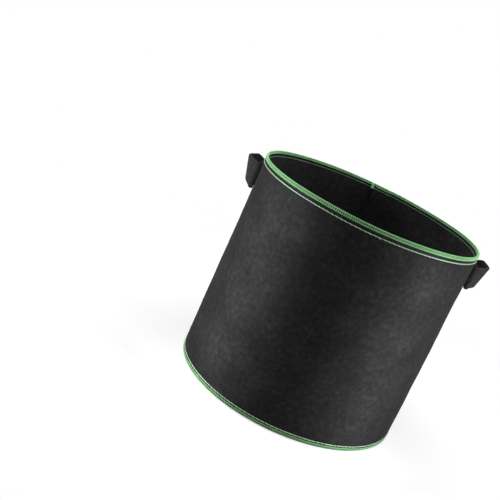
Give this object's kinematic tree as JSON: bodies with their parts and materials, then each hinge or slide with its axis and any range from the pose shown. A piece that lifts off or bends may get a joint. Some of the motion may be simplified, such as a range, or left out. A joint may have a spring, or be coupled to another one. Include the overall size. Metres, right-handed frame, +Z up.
{
  "type": "fabric grow bag",
  "caption": "Round black felt planting bag with overlocked rim and hem, a sewn-in floor and a lifting strap handle on each side.",
  "frame": {"origin": "centre of the hem ring, on the ground", "axes": "+Z up out of the bag's mouth, front at -Y, back seam at +Y, handles on +X and -X"},
  "size_m": [0.3408, 0.3016, 0.275],
  "materials": {
    "felt_panel": "matte needle-punched felt",
    "handle_strap": "matte needle-punched felt strap",
    "overlock_thread": "soft sheen polyester thread, looped",
    "sewing_thread": "soft sheen polyester thread",
    "dark_thread": "soft sheen polyester thread"
  },
  "bodies": {
    "bag": {"wall_panel": "felt_panel", "base_panel": "felt_panel", "rim_overlock": "overlock_thread", "hem_overlock": "overlock_thread", "rim_thread_tail": "overlock_thread", "rim_stitch_outside": "sewing_thread", "rim_stitch_inside": "sewing_thread", "hem_stitch_outside": "sewing_thread", "hem_stitch_inside": "sewing_thread", "seam_stitch_outside": "dark_thread", "seam_stitch_inside": "dark_thread", "right_handle_front_end": "handle_strap", "right_handle_rear_end": "handle_strap", "right_front_end_stitch": "dark_thread", "right_rear_end_stitch": "dark_thread", "left_handle_front_end": "handle_strap", "left_handle_rear_end": "handle_strap", "left_front_end_stitch": "dark_thread", "left_rear_end_stitch": "dark_thread"},
    "right_handle": {"right_handle_loop": "handle_strap"},
    "left_handle": {"left_handle_loop": "handle_strap"}
  },
  "joints": [
    {"name": "right_handle_lift", "type": "hinge", "parent": "bag", "child": "right_handle", "pos_m": [0.15685, 0.00685, 0.262], "axis": [0.0436, -0.999, 0], "range_deg": [0, 80]},
    {"name": "left_handle_lift", "type": "hinge", "parent": "bag", "child": "left_handle", "pos_m": [-0.15685, 0.00685, 0.262], "axis": [0.0436, 0.999, 0], "range_deg": [0, 80]}
  ]
}
